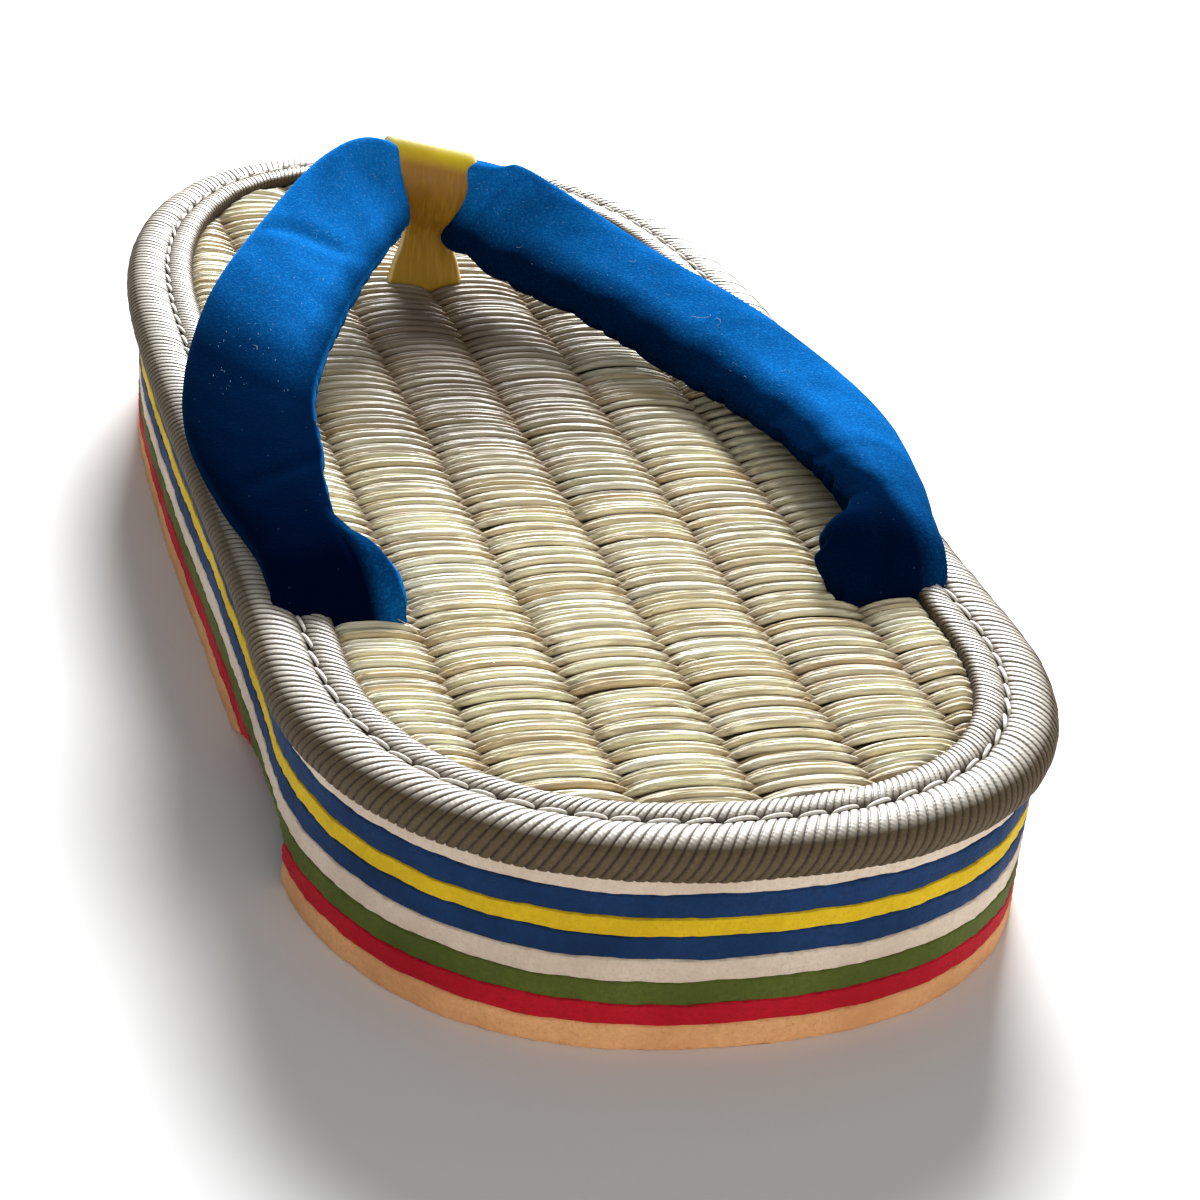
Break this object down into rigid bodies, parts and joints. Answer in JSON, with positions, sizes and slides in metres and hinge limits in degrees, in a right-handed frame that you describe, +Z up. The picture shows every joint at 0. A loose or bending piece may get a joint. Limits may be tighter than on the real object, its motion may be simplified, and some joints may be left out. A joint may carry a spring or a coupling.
{
  "type": "zori sandal",
  "caption": "Flat zori sandal: striped foam sole with an arch, woven rush top with a taped edge, velvet straps and a satin toe loop.",
  "frame": {"origin": "on the floor, under the middle of the sandal's box", "axes": "+Y towards the toe, +Z up, +X to the wearer's right"},
  "size_m": [0.105, 0.246, 0.0525],
  "materials": {
    "peach_foam": "matte foam, cut edge",
    "red_foam": "matte foam, cut edge",
    "green_foam": "matte foam, cut edge",
    "white_foam": "matte foam, cut edge",
    "blue_foam": "matte foam, cut edge",
    "yellow_foam": "matte foam, cut edge",
    "rush": "woven rush stems with a soft gloss",
    "ribbed_tape": "ribbed tape with a silky sheen and a white running stitch",
    "velvet": "deep blue velvet with nap",
    "satin": "yellow satin"
  },
  "bodies": {
    "root": {"outsole_heel": "peach_foam", "outsole_forefoot": "peach_foam", "red_layer_heel": "red_foam", "red_layer_forefoot": "red_foam", "green_layer": "green_foam", "white_layer": "white_foam", "lower_blue_layer": "blue_foam", "yellow_layer": "yellow_foam", "upper_blue_layer": "blue_foam", "top_white_layer": "white_foam", "rush_mat": "rush", "edge_binding": "ribbed_tape", "strap_upper": "velvet", "toe_loop": "satin"}
  },
  "joints": []
}
